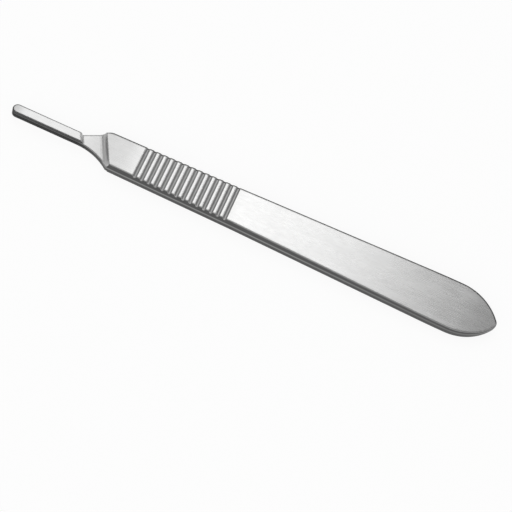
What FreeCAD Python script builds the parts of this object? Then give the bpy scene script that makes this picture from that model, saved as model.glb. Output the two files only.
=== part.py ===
import FreeCAD, Part
import math
import os

import Sketcher
from FreeCAD import Placement, Rotation, Vector

# A reusable scalpel handle, made in one piece of stainless steel: a blade
# tang with its boss, a neck, an oblique shoulder, a ribbed grip, a flat shank
# and a rounded tail. X runs from tang to tail, Y across and Z up. Inside the
# body X starts at the nose of the tang, and the back face lies on Z = 0.

doc = FreeCAD.newDocument("scalpel_handle")

# Driving dimensions in millimetres and degrees, with a count for the grooves
SIZES = {
    # Outline
    "overall_length": 125.0,
    "tang_length": 18.0,
    "tang_width": 2.54,
    "neck_length": 6.3,
    "flare_angle": 28.7,
    "hollow_lead": 0.8,
    "far_corner_radius": 2.4,
    "corner_lead": 0.615,
    "shoulder_width": 8.9,
    "grip_end_width": 9.98,
    "tail_width": 13.05,
    "hip_lead": 6.7,
    "hip_swell": 0.095,
    "tail_length": 10.8,
    "tip_radius": 1.6,
    # Section of the body
    "thickness": 3.52,
    "land_low": 1.6,
    "land_width": 0.5,
    "upper_setback": 0.19,
    "lower_setback": 0.14,
    "tail_rise": 0.82,
    "taper_lead": 1.4,
    "taper_bend_radius": 500.0,
    "crown_lead": 1.2,
    "crown_radius": 160.0,
    "heel_lead": 2.3,
    "heel_radius": 85.0,
    "rim_fillet": 0.28,
    # Steps between body and neck
    "shoulder_angle": 63.5,
    "shoulder_draft": 12.0,
    "brow_bevel": 0.12,
    "neck_face": 1.9,
    "front_cove": 1.5,
    "neck_back": 0.6,
    "back_cove": 0.4,
    # Boss that carries the blade
    "boss_height": 0.78,
    "boss_overrun": 0.19,
    "boss_rear_angle": 64.0,
    "boss_rear_bevel": 0.64,
    "boss_rim_fillet": 0.34,
    "slot_height": 0.36,
    "slot_depth": 0.36,
    "tang_rim_fillet": 0.28,
    # Ribs of the grip
    "panel_length": 8.75,
    "rib_grooves": 14,
    "rib_pitch": 1.787,
    "grip_run_out": 2.2,
    "groove_width": 0.84,
    "groove_depth": 0.52,
    "groove_wall_angle": 20.0,
    "groove_lead_in": 0.07,
    # How far the cutting profiles reach past the metal
    "cut_margin": 3.0,
}

# Places along the handle, worked out from the driving dimensions
SHOULDER_X = "(sizes.tang_length + sizes.neck_length)"
SHOULDER_RUN = "(sizes.shoulder_width / 2 / tan(sizes.shoulder_angle * 1 deg))"
NEAR_CORNER_X = f"({SHOULDER_X} + {SHOULDER_RUN} - sizes.corner_lead)"
HOLLOW_X = "(sizes.tang_length - sizes.hollow_lead)"
BOSS_REAR_X = "(sizes.tang_length + sizes.boss_overrun)"
FIRST_GROOVE_X = f"({SHOULDER_X} + sizes.panel_length)"
GRIP_END_X = f"({FIRST_GROOVE_X} + (sizes.rib_grooves - 1) * sizes.rib_pitch + sizes.grip_run_out)"
TAPER_X = f"({GRIP_END_X} + sizes.taper_lead)"
TAIL_X = "(sizes.overall_length - sizes.tail_length)"
HIP_X = f"({TAIL_X} - sizes.hip_lead)"
FLANK_SPREAD = f"((sizes.tail_width - sizes.grip_end_width) / 2 / ({TAIL_X} - {GRIP_END_X}))"
HIP_HALF = f"(sizes.tail_width / 2 - {FLANK_SPREAD} * sizes.hip_lead + sizes.hip_swell)"
CROWN_X = f"({TAIL_X} + sizes.crown_lead)"
HEEL_X = f"({TAIL_X} + sizes.heel_lead)"
PAST_TIP_X = "(sizes.overall_length + sizes.cut_margin)"
BOSS_TOP_Z = "(sizes.neck_face + sizes.boss_height)"
LAND_TOP_Z = "(sizes.land_low + sizes.land_width)"
TAIL_TOP_Z = f"({LAND_TOP_Z} + sizes.tail_rise)"

# How near two places count as the same, and which slants of a face's normal
# make it a broad face or a side
SAME_PLACE = 0.01
BROAD_FACE_SLANT = 0.9
SIDE_FACE_SLANT = 0.5

sheet = doc.addObject("Spreadsheet::Sheet", "sizes")
for row, (alias, number) in enumerate(SIZES.items(), start=1):
    sheet.set(f"A{row}", alias)
    sheet.set(f"B{row}", str(number))
    sheet.setAlias(f"B{row}", alias)
doc.recompute()

handle = doc.addObject("PartDesign::Body", "scalpel_handle")
handle.Label = "scalpel_handle"
origin_parts = {item.Role: item for item in handle.Origin.OriginFeatures}


# Sketching

def value(expression):
    """The number that an expression of the sheet's cells gives, angles in radians."""
    result = FreeCAD.Units.Quantity(sheet.evalExpression(expression))
    if result.Unit == FreeCAD.Units.Angle:
        return math.radians(result.Value)
    return result.Value


def new_sketch(name, plane):
    """An empty sketch on one of the body's own origin planes."""
    sketch = handle.newObject("Sketcher::SketchObject", name)
    sketch.AttachmentSupport = [(origin_parts[plane], "")]
    sketch.MapMode = "FlatFace"
    return sketch


def move_sketch(sketch, **places):
    """Moves a sketch along its plane's own axes, to places given as expressions."""
    for axis, expression in places.items():
        sketch.setExpression(f".AttachmentOffset.Base.{axis}", expression)


def turn_sketch(sketch, axis, expression):
    """Turns a sketch about one of its plane's own axes, by an angle given as an expression."""
    turn = Rotation(axis, math.degrees(value(expression)))
    sketch.AttachmentOffset = Placement(Vector(), turn)
    sketch.setExpression(".AttachmentOffset.Rotation.Angle", expression)


def line(sketch, start, end):
    """Adds a straight edge."""
    return sketch.addGeometry(Part.LineSegment(Vector(*start, 0), Vector(*end, 0)), False)


def arc(sketch, centre, start, end):
    """Adds an arc that runs counter-clockwise from start to end."""
    first = math.atan2(start[1] - centre[1], start[0] - centre[0])
    last = math.atan2(end[1] - centre[1], end[0] - centre[0])
    if last <= first:
        last += 2 * math.pi
    circle = Part.Circle(Vector(*centre, 0), Vector(0, 0, 1), math.dist(centre, start))
    return sketch.addGeometry(Part.ArcOfCircle(circle, first, last), False)


def helper_point(sketch, place):
    """Adds a construction point."""
    return sketch.addGeometry(Part.Point(Vector(*place, 0)), True)


def rule(sketch, kind, *elements):
    """Adds a constraint that has no size."""
    sketch.addConstraint(Sketcher.Constraint(kind, *elements))


def bind(sketch, name, expression, kind, *elements):
    """Adds a named dimension that follows the sheet's cells."""
    number = sketch.addConstraint(Sketcher.Constraint(kind, *elements, value(expression)))
    sketch.renameConstraint(number, name)
    sketch.setExpression(f"Constraints.{name}", expression)


def close_with_lines(sketch, points, first, last, joint="Coincident"):
    """Straight edges from one end of a curve back to its other end."""
    edges = [line(sketch, a, b) for a, b in zip(points, points[1:])]
    rule(sketch, joint, *first, edges[0], 1)
    for before, after in zip(edges, edges[1:]):
        rule(sketch, "Coincident", before, 2, after, 1)
    rule(sketch, joint, *last, edges[-1], 2)
    return edges


def along(start, distance, direction):
    """The point at a distance from start, in a direction given in radians."""
    return (start[0] + distance * math.cos(direction), start[1] + distance * math.sin(direction))


def mirrored(point):
    """The same point on the other side of the centre line."""
    return (point[0], -point[1])


# Features

def feature(kind, name):
    """A new feature at the end of the body's history."""
    return handle.newObject(f"PartDesign::{kind}", name)


def finish(item, removes=False):
    """Recomputes and stops if the feature failed or removed nothing."""
    handle.Tip = item
    doc.recompute()
    failed = "Invalid" in item.State or "Error" in item.State
    if failed or item.Shape.isNull() or not item.Shape.isValid():
        raise RuntimeError(f"{item.Name} failed: {item.State}")
    if removes and item.Shape.Volume >= item.BaseFeature.Shape.Volume:
        raise RuntimeError(f"{item.Name} removed nothing")
    return item


def cut_across(name, sketch):
    """Cuts a side profile away across the whole width."""
    cut = feature("Pocket", name)
    cut.Profile = sketch
    cut.Type = "ThroughAll"
    cut.SideType = "Symmetric"
    return finish(cut, removes=True)


def edges_where(item, wanted):
    """Names of the edges of a feature's shape that pass a test."""
    return [f"Edge{number}" for number, edge in enumerate(item.Shape.Edges, start=1) if wanted(edge)]


def lies_at(edge, level):
    """True where the whole edge lies at one height."""
    return max(abs(vertex.Z - level) for vertex in edge.Vertexes) < SAME_PLACE


def beside_body(edge):
    """False for an edge of the tang or of the hollow near side of the neck."""
    middle = edge.CenterOfMass
    return middle.x > value(NEAR_CORNER_X) or middle.y > value("sizes.tang_width / 2") + SAME_PLACE


# Outline of the whole handle, seen from above

def draw_outline(sketch):
    """Tang, neck, grip, shank and tail in one closed line."""
    half_tang = value("sizes.tang_width / 2")
    half_front = value("sizes.shoulder_width / 2")
    half_grip = value("sizes.grip_end_width / 2")
    half_tail = value("sizes.tail_width / 2")
    tang_end = (value("sizes.tang_length"), half_tang)
    corner = (value(NEAR_CORNER_X), -half_front)
    grip_end = (value(GRIP_END_X), half_grip)
    hip_start = (value(HIP_X), value(HIP_HALF))
    tail_start = (value(TAIL_X), half_tail)
    flare = value("sizes.flare_angle * 1 deg")
    grip_slope = math.atan2(half_grip - half_front, grip_end[0] - corner[0])
    shank_slope = math.atan2(hip_start[1] - half_grip, hip_start[0] - grip_end[0])
    square = math.pi / 2

    # Far corner, where the flare of the neck turns into the flank
    rise = half_front - half_tang - (corner[0] - tang_end[0]) * math.tan(grip_slope)
    reach = rise / (math.tan(flare) - math.tan(grip_slope))
    meeting = (tang_end[0] + reach, half_tang + reach * math.tan(flare))
    corner_radius = value("sizes.far_corner_radius")
    run = corner_radius * math.tan((flare - grip_slope) / 2)
    flare_end = along(meeting, -run, flare)
    grip_start = along(meeting, run, grip_slope)
    corner_centre = along(flare_end, corner_radius, flare - square)

    # Hip, a slow arc from the shank to the tail
    hip_run = (tail_start[0] - hip_start[0], tail_start[1] - hip_start[1])
    half_turn = shank_slope - math.atan2(hip_run[1], hip_run[0])
    hip_radius = math.hypot(*hip_run) / 2 / math.sin(half_turn)
    hip_centre = along(hip_start, hip_radius, shank_slope - square)
    tail_slope = shank_slope - 2 * half_turn

    # Tail, a wide arc on each side and a small one round the tip
    tip_radius = value("sizes.tip_radius")
    tip_centre = (value("sizes.overall_length") - tip_radius, 0.0)
    back = tail_start[0] - tip_centre[0]
    tail_radius = (back ** 2 + half_tail ** 2 - tip_radius ** 2) / 2
    tail_radius /= half_tail * math.cos(tail_slope) - back * math.sin(tail_slope) - tip_radius
    tail_centre = along(tail_start, tail_radius, tail_slope - square)
    turn = math.atan2(-tail_centre[1], tip_centre[0] - tail_centre[0])
    tip_start = along(tip_centre, tip_radius, turn)

    # Hollow near side of the neck, one arc from the tang to the near corner
    hollow_start = (value(HOLLOW_X), -half_tang)
    drop = half_front - half_tang
    hollow_radius = ((corner[0] - hollow_start[0]) ** 2 + drop ** 2) / (2 * drop)
    hollow_centre = (hollow_start[0], hollow_start[1] - hollow_radius)

    nose = arc(sketch, (half_tang, 0), (half_tang, half_tang), (half_tang, -half_tang))
    near_tang = line(sketch, (half_tang, -half_tang), hollow_start)
    near_neck = arc(sketch, hollow_centre, corner, hollow_start)
    near_grip = line(sketch, corner, mirrored(grip_end))
    near_shank = line(sketch, mirrored(grip_end), mirrored(hip_start))
    near_hip = arc(sketch, mirrored(hip_centre), mirrored(hip_start), mirrored(tail_start))
    near_tail = arc(sketch, mirrored(tail_centre), mirrored(tail_start), mirrored(tip_start))
    tip = arc(sketch, tip_centre, mirrored(tip_start), tip_start)
    far_tail = arc(sketch, tail_centre, tip_start, tail_start)
    far_hip = arc(sketch, hip_centre, tail_start, hip_start)
    far_shank = line(sketch, hip_start, grip_end)
    far_grip = line(sketch, grip_end, grip_start)
    far_corner = arc(sketch, corner_centre, grip_start, flare_end)
    far_flare = line(sketch, tang_end, flare_end)
    far_tang = line(sketch, tang_end, (half_tang, half_tang))
    corner_twin = helper_point(sketch, mirrored(corner))

    rule(sketch, "Tangent", nose, 1, far_tang, 2)
    rule(sketch, "Tangent", nose, 2, near_tang, 1)
    rule(sketch, "Tangent", near_tang, 2, near_neck, 2)
    rule(sketch, "Coincident", near_neck, 1, near_grip, 1)
    rule(sketch, "Coincident", near_grip, 2, near_shank, 1)
    rule(sketch, "Tangent", near_shank, 2, near_hip, 1)
    rule(sketch, "Tangent", near_hip, 2, near_tail, 1)
    rule(sketch, "Tangent", near_tail, 2, tip, 1)
    rule(sketch, "Tangent", tip, 2, far_tail, 1)
    rule(sketch, "Tangent", far_tail, 2, far_hip, 1)
    rule(sketch, "Tangent", far_hip, 2, far_shank, 1)
    rule(sketch, "Coincident", far_shank, 2, far_grip, 1)
    rule(sketch, "Tangent", far_grip, 2, far_corner, 1)
    rule(sketch, "Tangent", far_corner, 2, far_flare, 2)
    rule(sketch, "Coincident", far_flare, 1, far_tang, 1)
    rule(sketch, "Horizontal", near_tang)
    rule(sketch, "Horizontal", far_tang)
    rule(sketch, "PointOnObject", nose, 3, -1)
    rule(sketch, "PointOnObject", tip, 3, -1)

    # Both flanks are alike
    rule(sketch, "Symmetric", near_tail, 1, far_tail, 2, -1)
    rule(sketch, "Symmetric", near_hip, 1, far_hip, 2, -1)
    rule(sketch, "Symmetric", near_grip, 2, far_grip, 1, -1)
    rule(sketch, "Symmetric", near_neck, 1, corner_twin, 1, -1)
    rule(sketch, "PointOnObject", corner_twin, 1, far_grip)

    bind(sketch, "nose_centre", "sizes.tang_width / 2", "DistanceX", -1, 1, nose, 3)
    bind(sketch, "tang_width", "sizes.tang_width", "DistanceY", near_tang, 1, far_tang, 2)
    bind(sketch, "tang_end", "sizes.tang_length", "DistanceX", -1, 1, far_tang, 1)
    bind(sketch, "hollow_start", HOLLOW_X, "DistanceX", -1, 1, near_tang, 2)
    bind(sketch, "flare_angle", "sizes.flare_angle * 1 deg", "Angle", far_flare)
    bind(sketch, "corner_radius", "sizes.far_corner_radius", "Radius", far_corner)
    bind(sketch, "near_corner", NEAR_CORNER_X, "DistanceX", -1, 1, near_neck, 1)
    bind(sketch, "shoulder_width", "sizes.shoulder_width", "DistanceY", near_neck, 1, corner_twin, 1)
    bind(sketch, "grip_end", GRIP_END_X, "DistanceX", -1, 1, far_grip, 1)
    bind(sketch, "grip_width", "sizes.grip_end_width", "DistanceY", near_grip, 2, far_grip, 1)
    bind(sketch, "hip_start", HIP_X, "DistanceX", -1, 1, far_hip, 2)
    bind(sketch, "hip_width", f"2 * {HIP_HALF}", "DistanceY", near_hip, 1, far_hip, 2)
    bind(sketch, "tail_start", TAIL_X, "DistanceX", -1, 1, far_tail, 2)
    bind(sketch, "tail_width", "sizes.tail_width", "DistanceY", near_tail, 1, far_tail, 2)
    bind(sketch, "tip_centre", "sizes.overall_length - sizes.tip_radius", "DistanceX", -1, 1, tip, 3)
    bind(sketch, "tip_radius", "sizes.tip_radius", "Radius", tip)


outline = new_sketch("outline", "XY_Plane")
draw_outline(outline)
blank = feature("Pad", "blank")
blank.Profile = outline
blank.setExpression("Length", "sizes.thickness")
finish(blank)


# Sides of the body: a narrow upright land between two drafted facets

def edges_beside_broad_face(item, front):
    """Names of the edges between one broad face of the body and its sides."""
    beside = {}
    for face in item.Shape.Faces:
        for edge in face.Edges:
            beside.setdefault(edge.hashCode(), []).append(face)

    def wanted(edge):
        middle = edge.CenterOfMass
        slants = [abs(face.normalAt(*face.Surface.parameter(middle)).z) for face in beside[edge.hashCode()]]
        between = max(slants) > BROAD_FACE_SLANT and min(slants) < SIDE_FACE_SLANT
        in_front = middle.z > value("sizes.land_low") + SAME_PLACE
        return between and beside_body(edge) and in_front == front

    return edges_where(item, wanted)


def add_facets(name, front, height, setback):
    """Bevels the rim of one broad face down to the edge of the land."""
    base = handle.Tip
    facets = feature("Chamfer", name)
    facets.Base = (base, edges_beside_broad_face(base, front))
    facets.ChamferType = "Two distances"
    facets.setExpression("Size", height)
    facets.setExpression("Size2", setback)
    finish(facets, removes=True)


add_facets("upper_facets", True, f"sizes.thickness - {LAND_TOP_Z}", "sizes.upper_setback")
add_facets("lower_facets", False, "sizes.land_low", "sizes.lower_setback")


# Shank and tail, seen from the side

def draw_taper(sketch):
    """What is ground off the front face: a slow bend, a long taper and the crown."""
    bend_radius = value("sizes.taper_bend_radius")
    crown_radius = value("sizes.crown_radius")
    start = (value(TAPER_X), value("sizes.thickness"))
    tail_face = (value(TAIL_X), value(TAIL_TOP_Z))
    bend_centre = (start[0], start[1] - bend_radius)
    away = (tail_face[0] - bend_centre[0], tail_face[1] - bend_centre[1])
    turn = math.atan2(away[1], away[0]) + math.acos(bend_radius / math.hypot(*away))
    slope = turn - math.pi / 2
    taper_start = along(bend_centre, bend_radius, turn)
    taper_end = along(tail_face, value("sizes.crown_lead") / math.cos(slope), slope)
    crown_centre = along(taper_end, crown_radius, slope - math.pi / 2)
    end_x = value(PAST_TIP_X)
    end = (end_x, crown_centre[1] + math.sqrt(crown_radius ** 2 - (end_x - crown_centre[0]) ** 2))
    top_z = value("sizes.thickness + sizes.cut_margin")

    bend = arc(sketch, bend_centre, taper_start, start)
    taper = line(sketch, taper_start, taper_end)
    crown = arc(sketch, crown_centre, end, taper_end)
    corners = [end, (end_x, top_z), (start[0], top_z), start]
    right, over, left = close_with_lines(sketch, corners, (crown, 1), (bend, 2))
    tail_point = helper_point(sketch, tail_face)
    rule(sketch, "Tangent", bend, 1, taper, 1)
    rule(sketch, "Tangent", taper, 2, crown, 2)
    rule(sketch, "Vertical", bend, 3, bend, 2)
    rule(sketch, "Vertical", right)
    rule(sketch, "Horizontal", over)
    rule(sketch, "Vertical", left)
    rule(sketch, "PointOnObject", tail_point, 1, taper)
    bind(sketch, "start", TAPER_X, "DistanceX", -1, 1, bend, 2)
    bind(sketch, "face", "sizes.thickness", "DistanceY", -1, 1, bend, 2)
    bind(sketch, "bend_radius", "sizes.taper_bend_radius", "Radius", bend)
    bind(sketch, "tail_start", TAIL_X, "DistanceX", -1, 1, tail_point, 1)
    bind(sketch, "tail_face", TAIL_TOP_Z, "DistanceY", -1, 1, tail_point, 1)
    bind(sketch, "crown_start", CROWN_X, "DistanceX", -1, 1, taper, 2)
    bind(sketch, "crown_radius", "sizes.crown_radius", "Radius", crown)
    bind(sketch, "end", PAST_TIP_X, "DistanceX", -1, 1, crown, 1)
    bind(sketch, "top", "sizes.thickness + sizes.cut_margin", "DistanceY", -1, 1, right, 2)


def draw_heel(sketch):
    """What is ground off the back face under the tail."""
    radius = value("sizes.heel_radius")
    start = (value(HEEL_X), 0.0)
    end_x = value(PAST_TIP_X)
    end = (end_x, radius - math.sqrt(radius ** 2 - (end_x - start[0]) ** 2))
    low_z = -value("sizes.cut_margin")

    heel = arc(sketch, (start[0], radius), start, end)
    corners = [end, (end_x, low_z), (start[0], low_z), start]
    right, under, left = close_with_lines(sketch, corners, (heel, 2), (heel, 1))
    rule(sketch, "Vertical", heel, 3, heel, 1)
    rule(sketch, "PointOnObject", heel, 1, -1)
    rule(sketch, "Vertical", right)
    rule(sketch, "Horizontal", under)
    rule(sketch, "Vertical", left)
    bind(sketch, "start", HEEL_X, "DistanceX", -1, 1, heel, 1)
    bind(sketch, "radius", "sizes.heel_radius", "Radius", heel)
    bind(sketch, "end", PAST_TIP_X, "DistanceX", -1, 1, heel, 2)
    bind(sketch, "low", "sizes.cut_margin", "DistanceY", right, 2, -1, 1)


taper_profile = new_sketch("taper_profile", "XZ_Plane")
draw_taper(taper_profile)
cut_across("taper", taper_profile)
heel_profile = new_sketch("heel_profile", "XZ_Plane")
draw_heel(heel_profile)
cut_across("heel", heel_profile)


# Rounded rims of the two broad faces

def round_rim(name, front):
    """Fillets the edges between one broad face and its facets."""
    base = handle.Tip
    rim = feature("Fillet", name)
    rim.Base = (base, edges_beside_broad_face(base, front))
    rim.setExpression("Radius", "sizes.rim_fillet")
    finish(rim, removes=True)


round_rim("front_rim", True)
round_rim("back_rim", False)


# Steps down to the neck, milled square to the shoulder's edge

def draw_step(sketch, above, brow, floor, cove, out):
    """The neck's face, a cove, a drafted wall and a bevel along the wall's brow.

    X is measured from the brow. Above is 1 for the front and -1 for the back.
    """
    draft = value("sizes.shoulder_draft * 1 deg")
    brow_z = value(brow)
    floor_z = value(floor)
    out_z = value(out)
    radius = value(cove)
    far_x = -value(f"{SHOULDER_X} + sizes.cut_margin")
    height = abs(brow_z - floor_z)
    centre_x = -(radius + (height - radius) * math.sin(draft)) / math.cos(draft)
    centre = (centre_x, floor_z + above * radius)
    wall_foot = along(centre, radius, -above * draft)
    bevel = value("sizes.brow_bevel")
    wall_top = (-bevel * math.tan(draft), brow_z - above * bevel)
    bevel_top = (wall_top[0] + bevel, brow_z)
    foot = (centre_x, floor_z)

    ends = (foot, wall_foot) if above > 0 else (wall_foot, foot)
    bend = arc(sketch, centre, *ends)
    foot_end, wall_end = (1, 2) if above > 0 else (2, 1)
    corners = [wall_foot, wall_top, bevel_top, (bevel_top[0], out_z)]
    corners += [(far_x, out_z), (far_x, floor_z), foot]
    wall, slant, right, over, left, flat = close_with_lines(
        sketch, corners, (bend, wall_end), (bend, foot_end), "Tangent")
    edge = helper_point(sketch, (0, brow_z))
    rule(sketch, "PointOnObject", edge, 1, -2)
    rule(sketch, "PointOnObject", edge, 1, wall)
    rule(sketch, "Vertical", right)
    rule(sketch, "Horizontal", over)
    rule(sketch, "Vertical", left)
    rule(sketch, "Horizontal", flat)
    bind(sketch, "cove", cove, "Radius", bend)
    bind(sketch, "draft", f"{above} * (90 - sizes.shoulder_draft) * 1 deg", "Angle", wall)
    bind(sketch, "floor", floor, "DistanceY", -1, 1, flat, 1)
    bind(sketch, "reach", f"{SHOULDER_X} + sizes.cut_margin", "DistanceX", flat, 1, -1, 1)
    bind(sketch, "bevel_run", "sizes.brow_bevel", "DistanceX", slant, 1, slant, 2)
    bind(sketch, "bevel_foot", f"{brow} - ({above}) * sizes.brow_bevel", "DistanceY", -1, 1, slant, 1)
    if above > 0:
        bind(sketch, "brow", brow, "DistanceY", -1, 1, edge, 1)
        bind(sketch, "bevel_top", brow, "DistanceY", -1, 1, slant, 2)
        bind(sketch, "out", out, "DistanceY", -1, 1, right, 2)
    else:
        rule(sketch, "PointOnObject", edge, 1, -1)
        rule(sketch, "PointOnObject", slant, 2, -1)
        bind(sketch, "out", f"-({out})", "DistanceY", right, 2, -1, 1)


def cut_step(name, *arguments):
    """Cuts one step down to the neck."""
    sketch = new_sketch(f"{name}_profile", "XZ_Plane")
    draw_step(sketch, *arguments)
    turn_sketch(sketch, Vector(0, 1, 0), "(90 - sizes.shoulder_angle) * 1 deg")
    move_sketch(sketch, x=SHOULDER_X)
    cut_across(name, sketch)


cut_step("front_step", 1, "sizes.thickness", "sizes.neck_face", "sizes.front_cove",
         "sizes.thickness + sizes.cut_margin")
cut_step("back_step", -1, "0", "sizes.neck_back", "sizes.back_cove", "-sizes.cut_margin")


# Boss on the tang, with a slot along each side for the edges of the blade

def draw_boss(sketch):
    """Round nose, straight sides and an oblique rear."""
    half = value("sizes.tang_width / 2")
    rear_x = value(BOSS_REAR_X)
    lean = half / math.tan(value("sizes.boss_rear_angle * 1 deg"))
    corners = [(half, -half), (rear_x + lean, -half), (rear_x - lean, half), (half, half)]

    nose = arc(sketch, (half, 0), (half, half), (half, -half))
    near, rear, far = close_with_lines(sketch, corners, (nose, 2), (nose, 1), "Tangent")
    middle = helper_point(sketch, (rear_x, 0))
    rule(sketch, "Horizontal", near)
    rule(sketch, "Horizontal", far)
    rule(sketch, "PointOnObject", nose, 3, -1)
    rule(sketch, "PointOnObject", middle, 1, -1)
    rule(sketch, "PointOnObject", middle, 1, rear)
    bind(sketch, "nose_centre", "sizes.tang_width / 2", "DistanceX", -1, 1, nose, 3)
    bind(sketch, "width", "sizes.tang_width", "DistanceY", near, 1, far, 2)
    bind(sketch, "rear", BOSS_REAR_X, "DistanceX", -1, 1, middle, 1)
    bind(sketch, "rear_angle", "(180 - sizes.boss_rear_angle) * 1 deg", "Angle", rear)


def draw_slot(sketch):
    """One open slot beside the stem that carries the boss, on the far side."""
    inner = value("sizes.tang_width / 2 - sizes.slot_depth")
    outer = value("sizes.tang_width / 2 + sizes.slot_depth")
    start_x = -value("sizes.cut_margin")
    end_x = value(f"{BOSS_REAR_X} + sizes.tang_width / 2")
    corners = [(start_x, inner), (end_x, inner), (end_x, outer), (start_x, outer), (start_x, inner)]

    edges = [line(sketch, a, b) for a, b in zip(corners, corners[1:])]
    for before, after in zip(edges, edges[1:] + edges[:1]):
        rule(sketch, "Coincident", before, 2, after, 1)
    for edge, direction in zip(edges, ("Horizontal", "Vertical") * 2):
        rule(sketch, direction, edge)
    bind(sketch, "start", "sizes.cut_margin", "DistanceX", edges[0], 1, -1, 1)
    bind(sketch, "end", f"{BOSS_REAR_X} + sizes.tang_width / 2", "DistanceX", -1, 1, edges[0], 2)
    bind(sketch, "inner", "sizes.tang_width / 2 - sizes.slot_depth", "DistanceY", -1, 1, edges[0], 1)
    bind(sketch, "outer", "sizes.tang_width / 2 + sizes.slot_depth", "DistanceY", -1, 1, edges[2], 1)


boss_outline = new_sketch("boss_outline", "XY_Plane")
draw_boss(boss_outline)
move_sketch(boss_outline, z="sizes.neck_face")
boss = feature("Pad", "boss")
boss.Profile = boss_outline
boss.setExpression("Length", "sizes.boss_height")
finish(boss)


def at_boss_rear(edge):
    """True for the upper edge of the boss's oblique rear."""
    return lies_at(edge, value(BOSS_TOP_Z)) and abs(edge.CenterOfMass.x - value(BOSS_REAR_X)) < SAME_PLACE


def round_boss_top(edge):
    """True for the upper edges of the boss's sides and nose."""
    in_front = edge.CenterOfMass.x < value("sizes.tang_length - sizes.tang_width")
    return lies_at(edge, value(BOSS_TOP_Z)) and in_front


rear_bevel = feature("Chamfer", "boss_rear_bevel")
rear_bevel.Base = (boss, edges_where(boss, at_boss_rear))
rear_bevel.setExpression("Size", "sizes.boss_rear_bevel")
finish(rear_bevel, removes=True)

boss_rim = feature("Fillet", "boss_rim")
boss_rim.Base = (rear_bevel, edges_where(rear_bevel, round_boss_top))
boss_rim.setExpression("Radius", "sizes.boss_rim_fillet")
finish(boss_rim, removes=True)

slot_outline = new_sketch("slot_outline", "XY_Plane")
draw_slot(slot_outline)
move_sketch(slot_outline, z="sizes.neck_face")
far_slot = feature("Pocket", "far_slot")
far_slot.Profile = slot_outline
far_slot.Reversed = True
far_slot.setExpression("Length", "sizes.slot_height")
finish(far_slot, removes=True)
slots = feature("Mirrored", "slots")
slots.Originals = [far_slot]
slots.MirrorPlane = (origin_parts["XZ_Plane"], [""])
finish(slots, removes=True)


def on_tang_rim(edge):
    """True for the upper edges of the tang's sides, below the slots."""
    in_front = edge.CenterOfMass.x < value("sizes.tang_length - sizes.tang_width")
    outside = abs(edge.CenterOfMass.y) > value("sizes.tang_width / 2") - SAME_PLACE
    return lies_at(edge, value("sizes.neck_face")) and in_front and outside


tang_rim = feature("Fillet", "tang_rim")
tang_rim.Base = (slots, edges_where(slots, on_tang_rim))
tang_rim.setExpression("Radius", "sizes.tang_rim_fillet")
finish(tang_rim, removes=True)


# Ribs of the grip: a row of grooves right across the front face

def draw_groove(sketch):
    """One groove: a lead-in on each side, sloping walls and one round floor."""
    face_z = value("sizes.thickness")
    out_z = face_z + value("sizes.cut_margin")
    half = value("sizes.groove_width / 2")
    lead = value("sizes.groove_lead_in")
    depth = value("sizes.groove_depth")
    lean = value("sizes.groove_wall_angle * 1 deg")
    radius = half * math.cos(lean) - (depth - lead) * math.sin(lean)
    radius /= 1 - math.sin(lean)
    centre = (0, face_z - depth + radius)
    wall_foot = along(centre, radius, -lean)

    right_points = [(half + lead, out_z), (half + lead, face_z), (half, face_z - lead), wall_foot]
    left_points = [(-x, z) for x, z in reversed(right_points)]
    right = [line(sketch, a, b) for a, b in zip(right_points, right_points[1:])]
    left = [line(sketch, a, b) for a, b in zip(left_points, left_points[1:])]
    over = line(sketch, left_points[-1], right_points[0])
    floor = arc(sketch, centre, left_points[0], wall_foot)
    bottom = helper_point(sketch, (0, face_z - depth))

    for side in (right, left):
        for before, after in zip(side, side[1:]):
            rule(sketch, "Coincident", before, 2, after, 1)
    rule(sketch, "Tangent", right[-1], 2, floor, 2)
    rule(sketch, "Tangent", floor, 1, left[0], 1)
    rule(sketch, "Coincident", left[-1], 2, over, 1)
    rule(sketch, "Coincident", over, 2, right[0], 1)
    rule(sketch, "Vertical", right[0])
    for edge, twin in zip(right, reversed(left)):
        rule(sketch, "Symmetric", edge, 1, twin, 2, -2)
    rule(sketch, "PointOnObject", floor, 3, -2)
    rule(sketch, "PointOnObject", bottom, 1, -2)
    rule(sketch, "PointOnObject", bottom, 1, floor)
    outer, lip, wall = right
    mouth = "sizes.groove_width + 2 * sizes.groove_lead_in"
    bind(sketch, "mouth", mouth, "DistanceX", left[-1], 1, outer, 2)
    bind(sketch, "width", "sizes.groove_width", "DistanceX", left[0], 2, lip, 2)
    bind(sketch, "lean", "-(90 + sizes.groove_wall_angle) * 1 deg", "Angle", wall)
    bind(sketch, "out", "sizes.thickness + sizes.cut_margin", "DistanceY", -1, 1, outer, 1)
    bind(sketch, "face", "sizes.thickness", "DistanceY", -1, 1, outer, 2)
    bind(sketch, "lip", "sizes.thickness - sizes.groove_lead_in", "DistanceY", -1, 1, lip, 2)
    bind(sketch, "floor", "sizes.thickness - sizes.groove_depth", "DistanceY", -1, 1, bottom, 1)


groove_profile = new_sketch("groove_profile", "XZ_Plane")
draw_groove(groove_profile)
move_sketch(groove_profile, x=FIRST_GROOVE_X)
first_groove = cut_across("first_groove", groove_profile)
grooves = feature("LinearPattern", "grooves")
grooves.Originals = [first_groove]
grooves.Direction = (origin_parts["X_Axis"], [""])
grooves.setExpression("Length", "(sizes.rib_grooves - 1) * sizes.rib_pitch")
grooves.setExpression("Occurrences", "sizes.rib_grooves")
finish(grooves, removes=True)


# Origin of the part: under the middle of the handle, on the back face
handle.Placement = Placement(Vector(-value("sizes.overall_length / 2"), 0, 0), Rotation())
handle.setExpression(".Placement.Base.x", "-sizes.overall_length / 2")
doc.recompute()

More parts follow.
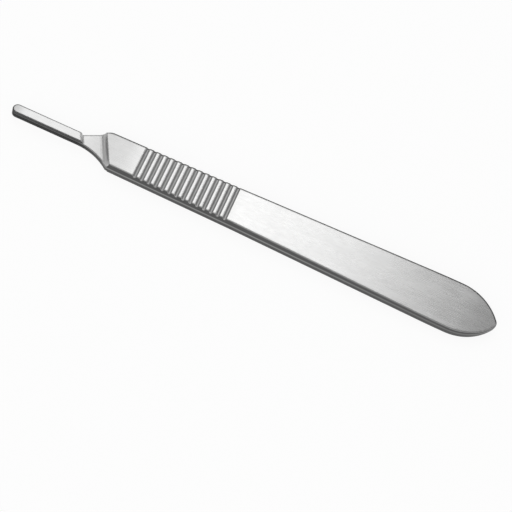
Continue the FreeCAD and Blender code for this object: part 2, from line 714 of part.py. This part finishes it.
for item in doc.Objects:
    if "Invalid" in item.State or "Error" in item.State:
        raise RuntimeError(f"{item.Name} failed: {item.State}")
    if item.isDerivedFrom("Sketcher::SketchObject") and not item.FullyConstrained:
        raise RuntimeError(f"{item.Name} is not fully constrained")
shape = handle.Shape
if shape.isNull() or not shape.isValid() or len(shape.Solids) != 1:
    raise RuntimeError("the handle is not one sound solid")

os.makedirs("parts", exist_ok=True)
shape.exportStep(f"parts/{handle.Label}.step")
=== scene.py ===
import math

import bpy
from mathutils import Matrix, Vector

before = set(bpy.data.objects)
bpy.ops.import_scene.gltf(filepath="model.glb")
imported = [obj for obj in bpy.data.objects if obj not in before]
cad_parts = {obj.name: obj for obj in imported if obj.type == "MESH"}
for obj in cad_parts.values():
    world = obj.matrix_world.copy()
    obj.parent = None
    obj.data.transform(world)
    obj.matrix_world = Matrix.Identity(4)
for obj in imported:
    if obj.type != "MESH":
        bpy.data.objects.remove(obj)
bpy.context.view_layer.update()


# The handle, one piece of stainless steel. It is forged flat, milled to its tang, shoulder and
# ribs, and satin ground along its length. The ground faces are bright, and the milled sides, walls
# and grooves are rougher. Their darker colour is painted shade, and the land along the flank
# carries a painted highlight.

def new_tree(name):
    """A new material with an empty node tree and its output."""
    material = bpy.data.materials.new(name)
    material.use_nodes = True
    tree = material.node_tree
    tree.nodes.clear()
    output = tree.nodes.new("ShaderNodeOutputMaterial")
    return material, tree, output


def feed(tree, socket, source):
    """Links a socket, or sets it to a value."""
    if isinstance(source, bpy.types.NodeSocket):
        tree.links.new(source, socket)
    else:
        socket.default_value = source


def add_node(tree, kind, settings=None, **inputs):
    """Adds a node. An underscore in an input's name stands for a space."""
    node = tree.nodes.new(kind)
    for name, setting in (settings or {}).items():
        setattr(node, name, setting)
    for name, source in inputs.items():
        feed(tree, node.inputs[name.replace("_", " ")], source)
    return node


def work_out(tree, operation, *sources):
    """One step of arithmetic on values or sockets."""
    node = add_node(tree, "ShaderNodeMath", {"operation": operation})
    for socket, source in zip(node.inputs, sources):
        feed(tree, socket, source)
    return node.outputs["Value"]


def to_range(tree, source, low, high, first, last):
    """Maps one range of a value to another and holds both ends."""
    return add_node(tree, "ShaderNodeMapRange", Value=source, From_Min=low, From_Max=high,
                    To_Min=first, To_Max=last).outputs["Result"]


def mix_tone(tree, share, first, second):
    """Blends two grey tones, the second by its share."""
    node = add_node(tree, "ShaderNodeMix", {"data_type": "FLOAT"}, Factor=share, A=first, B=second)
    return node.outputs["Result"]


def grain(tree, place, scale, detail, roughness):
    """Noise stretched along the handle by its scale on each axis."""
    stretched = add_node(tree, "ShaderNodeMapping", Vector=place, Scale=scale)
    noise = add_node(tree, "ShaderNodeTexNoise", Vector=stretched.outputs["Vector"],
                     Scale=1.0, Detail=detail, Roughness=roughness)
    return noise.outputs["Fac"]


LENGTH = 0.125


def from_nose(distance):
    """The x of a place that many millimetres from the nose."""
    return distance / 1000 - LENGTH / 2


def tone_along(tree, x, stops):
    """A tone that changes along the handle. A stop is millimetres from the nose and a tone."""
    share = to_range(tree, x, -LENGTH / 2, LENGTH / 2, 0.0, 1.0)
    ramp = add_node(tree, "ShaderNodeValToRGB", Fac=share)
    elements = ramp.color_ramp.elements
    while len(elements) < len(stops):
        elements.new(0.5)
    for element, (distance, tone) in zip(elements, stops):
        element.position = distance / 1000 / LENGTH
        element.color = (tone, tone, tone, 1.0)
    return ramp.outputs["Color"]


def from_place(tree, x, first, last):
    """0 at the first place and beyond it, 1 at the last. Places are millimetres from the nose."""
    return to_range(tree, x, from_nose(first), from_nose(last), 0.0, 1.0)


def band(tree, source, low, high, blur):
    """1 between two limits and 0 outside them, with soft ends."""
    rise = to_range(tree, source, low - blur, low + blur, 0.0, 1.0)
    fall = to_range(tree, source, high - blur, high + blur, 1.0, 0.0)
    return work_out(tree, "MULTIPLY", rise, fall)


steel, tree, output = new_tree("satin_steel")
shader = add_node(tree, "ShaderNodeBsdfPrincipled", Metallic=1.0, Anisotropic=0.5)
feed(tree, output.inputs["Surface"], shader.outputs["BSDF"])
coordinates = add_node(tree, "ShaderNodeTexCoord")
place = coordinates.outputs["Object"]
position = add_node(tree, "ShaderNodeSeparateXYZ", Vector=place)
normal = add_node(tree, "ShaderNodeSeparateXYZ", Vector=coordinates.outputs["Normal"])
x, z = position.outputs["X"], position.outputs["Z"]

# Where the surface lies level, where it is steep, and where it is cut in. A
# lift or lean is how far its normal points up or sideways. Heights are metres
# above the table, and places are millimetres from the nose.
LEVEL_LIFT = (0.985, 0.998)
STEEP_LIFT = (0.60, 0.30)
NECK_TOP = (0.001902, 0.001910)
FACE_BELOW = (0.00340, 0.00346)
SUNK_PLACES = (20.3, 58.5)
SUNK_BLUR = 0.0001
REAR_LEAN = (0.3, 0.5)
REAR_PLACES = (20.3, 20.0)
CROSSWISE_LEAN = (0.62, 0.50)
TAIL_PLACES = (108.0, 105.0)

lift = work_out(tree, "ABSOLUTE", normal.outputs["Z"])
level = to_range(tree, lift, *LEVEL_LIFT, 0.0, 1.0)
steep = to_range(tree, lift, *STEEP_LIFT, 0.0, 1.0)
above_neck = to_range(tree, z, *NECK_TOP, 0.0, 1.0)
below_face = to_range(tree, z, *FACE_BELOW, 1.0, 0.0)
# Groove floors take the darker cut tone: painted shade in the recesses
sunk = work_out(tree, "MULTIPLY", work_out(tree, "MULTIPLY", above_neck, below_face),
                band(tree, x, from_nose(SUNK_PLACES[0]), from_nose(SUNK_PLACES[1]), SUNK_BLUR))
# The rear step of the boss takes the darker steep tone: painted shade
boss_rear = work_out(tree, "MULTIPLY", to_range(tree, normal.outputs["X"], *REAR_LEAN, 0.0, 1.0),
                     from_place(tree, x, *REAR_PLACES))
across = work_out(tree, "ABSOLUTE", normal.outputs["Y"])
crosswise = work_out(tree, "MULTIPLY", to_range(tree, across, *CROSSWISE_LEAN, 0.0, 1.0),
                     from_place(tree, x, *TAIL_PLACES))
ground = work_out(tree, "MULTIPLY", level, work_out(tree, "SUBTRACT", 1.0, sunk))
steep = work_out(tree, "MAXIMUM", work_out(tree, "MAXIMUM", steep, sunk), boss_rear)

# The tones along the handle, of the ground faces, the flanks, the walls and grooves cut across it,
# and the rims. The flanks, walls, grooves and rims are painted darker than the ground faces as
# painted shade, and the land along the flank is painted brighter as a painted highlight.
GROUND_TONES = [(0.0, 0.36), (3.0, 0.58), (17.0, 0.57), (19.0, 0.53), (24.0, 0.47), (29.0, 0.50),
                (33.0, 0.62), (55.0, 0.64), (59.0, 0.70)]
FLANK_PAINTED_SHADE_TONES = [(0.0, 0.034), (17.0, 0.034), (22.0, 0.09)]
CUT_PAINTED_SHADE_TONES = [(0.0, 0.05), (16.0, 0.05), (17.0, 0.50), (19.5, 0.50), (21.0, 0.48), (28.0, 0.48),
             (31.0, 0.44)]
RIM_PAINTED_SHADE_TONES = [(0.0, 0.10), (17.0, 0.10), (22.0, 0.26)]
LOW_FLANK_PAINTED_SHADE = 0.80
FLANK_HEIGHTS = (0.00150, 0.00220)
LAND_HEIGHTS = (0.00160, 0.00210)
LAND_BLUR = 0.00006
LAND_START = (24.0, 25.0)
LAND_PAINTED_HIGHLIGHT = 2.8
TAIL_LAND_PAINTED_HIGHLIGHT = 1.9
LAND_FADE = (70.0, 105.0)
CUT_HEIGHTS = (0.0020, 0.0035)
CUT_FOOT, CUT_BROW = 1.10, 0.90

# The land's bright band is a painted highlight, weaker toward the tail
land = work_out(tree, "MULTIPLY", band(tree, z, *LAND_HEIGHTS, LAND_BLUR),
                from_place(tree, x, *LAND_START))
painted_land_highlight = to_range(tree, x, from_nose(LAND_FADE[0]), from_nose(LAND_FADE[1]),
                      LAND_PAINTED_HIGHLIGHT, TAIL_LAND_PAINTED_HIGHLIGHT)
# Painted shade on the flanks, darker on the lower flank, with a painted highlight on the land
flank_painted_light = mix_tone(tree, land, to_range(tree, z, *FLANK_HEIGHTS, LOW_FLANK_PAINTED_SHADE, 1.0), painted_land_highlight)
flank_painted_shade = work_out(tree, "MULTIPLY", tone_along(tree, x, FLANK_PAINTED_SHADE_TONES), flank_painted_light)
# Walls and grooves are painted darker as painted shade, lighter at the foot and darker at the brow
cut_painted_shade = work_out(tree, "MULTIPLY", tone_along(tree, x, CUT_PAINTED_SHADE_TONES),
                    to_range(tree, z, *CUT_HEIGHTS, CUT_FOOT, CUT_BROW))
steep_painted_shade = mix_tone(tree, crosswise, flank_painted_shade, cut_painted_shade)
# The rims' darker tone is painted shade
sloped_painted_shade = mix_tone(tree, steep, tone_along(tree, x, RIM_PAINTED_SHADE_TONES), steep_painted_shade)
tone = mix_tone(tree, ground, sloped_painted_shade, tone_along(tree, x, GROUND_TONES))

# The rubbed edges are rounder to the light than they are cut. The one on the far side is rolled
# over a little further, and its colour there is darkened as painted shade for the dark it mirrors.
EDGE_RADIUS = 0.0006
EDGE_SAMPLES = 8
FAR_LEAN = (0.01, 0.06)
FAR_START = (22.0, 24.0)
FAR_LIFT = (0.25, 0.45)
FAR_EDGE_PAINTED_SHADE = 0.09

rubbed = add_node(tree, "ShaderNodeBevel", {"samples": EDGE_SAMPLES}, Radius=EDGE_RADIUS)
turned = add_node(tree, "ShaderNodeVectorTransform",
                  {"vector_type": "NORMAL", "convert_from": "WORLD", "convert_to": "OBJECT"},
                  Vector=rubbed.outputs["Normal"])
far_side = add_node(tree, "ShaderNodeSeparateXYZ", Vector=turned.outputs["Vector"]).outputs["Y"]
painted_far_edge_shade = work_out(tree, "MULTIPLY", to_range(tree, far_side, *FAR_LEAN, 0.0, 1.0),
                  from_place(tree, x, *FAR_START))
painted_far_edge_shade = work_out(tree, "MULTIPLY", painted_far_edge_shade, to_range(tree, lift, *FAR_LIFT, 0.0, 1.0))
# Painted shade along the far edge
tone = mix_tone(tree, painted_far_edge_shade, tone, work_out(tree, "MINIMUM", tone, FAR_EDGE_PAINTED_SHADE))

# Streaks of the grinding belt, a cloudy sheen and rubs from handling, and the
# cutter's marks on the milled faces. Scales are repeats in a metre on each axis.
BELT_LINES = ((160.0, 6000.0, 6000.0), 3.0, 0.6)
CLOUDS = ((110.0, 260.0, 260.0), 3.0, 0.5)
MOTTLE = ((420.0, 1100.0, 1100.0), 4.0, 0.65)
CUTTER_MARKS = ((5000.0, 600.0, 5000.0), 2.0, 0.6)
NOISE_SPREAD = (0.3, 0.7)
STREAK_TONES = (0.965, 1.02)
SHEEN_TONES = (0.965, 1.03)
RUB_TONES = (0.955, 1.045)
STEEL_TINT = (1.0, 1.0, 0.996)

lines = grain(tree, place, *BELT_LINES)
cloud = grain(tree, place, *CLOUDS)
mottle = grain(tree, place, *MOTTLE)
mill_marks = grain(tree, place, *CUTTER_MARKS)
for noise, tones in ((lines, STREAK_TONES), (cloud, SHEEN_TONES), (mottle, RUB_TONES)):
    tone = work_out(tree, "MULTIPLY", tone, to_range(tree, noise, *NOISE_SPREAD, *tones))
tinted = add_node(tree, "ShaderNodeVectorMath", {"operation": "SCALE"}, Scale=tone)
feed(tree, tinted.inputs[0], STEEL_TINT)
feed(tree, shader.inputs["Base Color"], tinted.outputs["Vector"])

# The shine of the ground and the milled faces, and their fine relief
GROUND_ROUGHNESS = (0.25, 0.30)
CLOUD_ROUGHNESS = (-0.02, 0.03)
CUT_ROUGHNESS = (0.34, 0.42)
RELIEF_STRENGTH = 0.09
RELIEF_DEPTH = 0.00002

ground_roughness = work_out(tree, "ADD", to_range(tree, lines, *NOISE_SPREAD, *GROUND_ROUGHNESS),
                            to_range(tree, cloud, *NOISE_SPREAD, *CLOUD_ROUGHNESS))
cut_roughness = to_range(tree, mill_marks, *NOISE_SPREAD, *CUT_ROUGHNESS)
feed(tree, shader.inputs["Roughness"], mix_tone(tree, ground, cut_roughness, ground_roughness))
relief = mix_tone(tree, ground, mill_marks, lines)
bump = add_node(tree, "ShaderNodeBump", Strength=RELIEF_STRENGTH, Distance=RELIEF_DEPTH,
                Height=relief, Normal=rubbed.outputs["Normal"])
feed(tree, shader.inputs["Normal"], bump.outputs["Normal"])
tangent = add_node(tree, "ShaderNodeTangent", {"direction_type": "RADIAL", "axis": "X"})
feed(tree, shader.inputs["Tangent"], tangent.outputs["Tangent"])

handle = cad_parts["scalpel_handle"]
for slot in handle.material_slots:
    slot.material = steel


# The pale sweep that the handle lies on, matt white card. The camera and the
# metal see it nearly white, and it still takes the handle's soft shadow.

SWEEP_SIZE = 6.0
SWEEP_WHITE = (0.93, 0.93, 0.93, 1.0)
SWEEP_OWN_WHITE = 0.9

bpy.ops.mesh.primitive_plane_add(size=SWEEP_SIZE)
sweep = bpy.context.object
sweep.name = "sweep"
card, tree, output = new_tree("white_card")
rays = add_node(tree, "ShaderNodeLightPath")
seen = work_out(tree, "MAXIMUM", rays.outputs["Is Camera Ray"], rays.outputs["Is Glossy Ray"])
seen = work_out(tree, "MAXIMUM", seen, rays.outputs["Is Transmission Ray"])
matt = add_node(tree, "ShaderNodeBsdfDiffuse", Color=SWEEP_WHITE)
white = add_node(tree, "ShaderNodeEmission", Strength=1.0)
blend = add_node(tree, "ShaderNodeMixShader", Fac=work_out(tree, "MULTIPLY", seen, SWEEP_OWN_WHITE))
feed(tree, blend.inputs[1], matt.outputs["BSDF"])
feed(tree, blend.inputs[2], white.outputs["Emission"])
feed(tree, output.inputs["Surface"], blend.outputs["Shader"])
sweep.data.materials.append(card)


# Studio light. A broad softbox behind the handle is what its flat faces mirror
# to the camera. It ends near the tail, so that the shine falls off there.

def softbox(name, centre, width, height, brightness, aim=(0.0, 0.0, 0.0)):
    """An area lamp of a given brightness, turned to a point of the table."""
    lamp = bpy.data.lights.new(name, "AREA")
    lamp.shape = "RECTANGLE"
    lamp.size = width
    lamp.size_y = height
    lamp.energy = brightness * math.pi * width * height
    holder = bpy.data.objects.new(name, lamp)
    bpy.context.collection.objects.link(holder)
    turn = (Vector(aim) - Vector(centre)).to_track_quat("-Z", "Y").to_matrix().to_4x4()
    holder.matrix_world = Matrix.Translation(centre) @ turn


softbox("back_softbox", centre=(-0.355, 0.45, 0.78), width=0.95, height=0.75, brightness=1.25,
        aim=(-0.355, 0.0, 0.0))
softbox("front_softbox", centre=(0.0, -1.3, 0.95), width=2.6, height=1.5, brightness=1.0)
softbox("side_softbox", centre=(1.0, -0.3, 0.5), width=0.6, height=0.6, brightness=1.3)

# The room round the table, with pale walls under a darker ceiling
WALL_TOP, CEILING_START = 0.25, 0.65
WALL_LIGHT, CEILING_LIGHT = 0.80, 0.34

world = bpy.data.worlds.new("room")
bpy.context.scene.world = world
world.use_nodes = True
room = world.node_tree.nodes["Background"]
room.inputs["Color"].default_value = (1.0, 1.0, 1.0, 1.0)
direction = add_node(world.node_tree, "ShaderNodeTexCoord").outputs["Generated"]
height = add_node(world.node_tree, "ShaderNodeSeparateXYZ", Vector=direction).outputs["Z"]
glow = to_range(world.node_tree, height, WALL_TOP, CEILING_START, WALL_LIGHT, CEILING_LIGHT)
feed(world.node_tree, room.inputs["Strength"], glow)


# The camera stands in front of the handle and looks down on it, with a long
# lens and a roll that lays the handle across the frame.

CAMERA_ELEVATION = math.radians(60.0)
CAMERA_AZIMUTH = math.radians(-0.37)
CAMERA_ROLL = math.radians(24.6)
CAMERA_DISTANCE = 0.4392
CAMERA_TARGET = Vector((0.00410, -0.00932, 0.0015))
SENSOR_WIDTH = 36.0
FOCAL_LENGTH = 132.2

away = Vector((math.sin(CAMERA_AZIMUTH) * math.cos(CAMERA_ELEVATION),
               -math.cos(CAMERA_AZIMUTH) * math.cos(CAMERA_ELEVATION),
               math.sin(CAMERA_ELEVATION)))
right = Vector((0.0, 0.0, 1.0)).cross(away).normalized()
up = away.cross(right)
rolled_right = right * math.cos(CAMERA_ROLL) + up * math.sin(CAMERA_ROLL)
rolled_up = up * math.cos(CAMERA_ROLL) - right * math.sin(CAMERA_ROLL)
lens = bpy.data.cameras.new("camera")
lens.sensor_width = SENSOR_WIDTH
lens.lens = FOCAL_LENGTH
camera = bpy.data.objects.new("camera", lens)
bpy.context.collection.objects.link(camera)
turn = Matrix((rolled_right, rolled_up, away)).transposed().to_4x4()
camera.matrix_world = Matrix.Translation(CAMERA_TARGET + away * CAMERA_DISTANCE) @ turn
bpy.context.scene.camera = camera
bpy.context.scene.view_settings.view_transform = "Standard"
